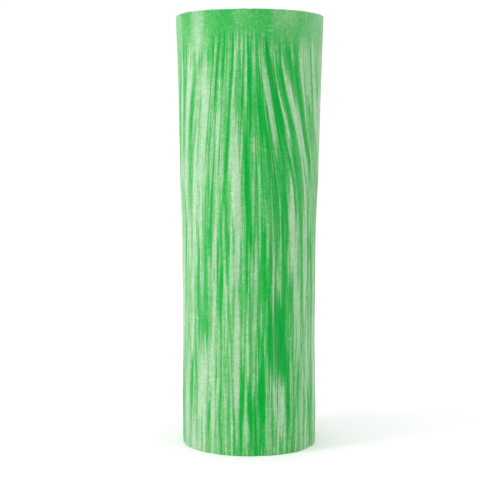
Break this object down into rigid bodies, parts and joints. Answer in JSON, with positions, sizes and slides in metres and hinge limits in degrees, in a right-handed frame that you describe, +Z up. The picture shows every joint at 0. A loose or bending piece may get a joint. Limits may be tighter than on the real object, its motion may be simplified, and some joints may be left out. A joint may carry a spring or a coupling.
{
  "type": "roll of felt",
  "caption": "Upright roll of thick green craft felt, wound without a core, a little wider at the top, softly creased along its length, its turns showing as a spiral at both ends.",
  "frame": {"origin": "middle of the flat end that the roll stands on", "axes": "+Z up along the roll, -Y towards the front of the picture, +X to its right"},
  "size_m": [0.1548, 0.1572, 0.45],
  "materials": {
    "felt": "matte, dense and fibrous, with lighter rubbed pile on the creases"
  },
  "bodies": {
    "root": {"felt_roll": "felt"}
  },
  "joints": []
}
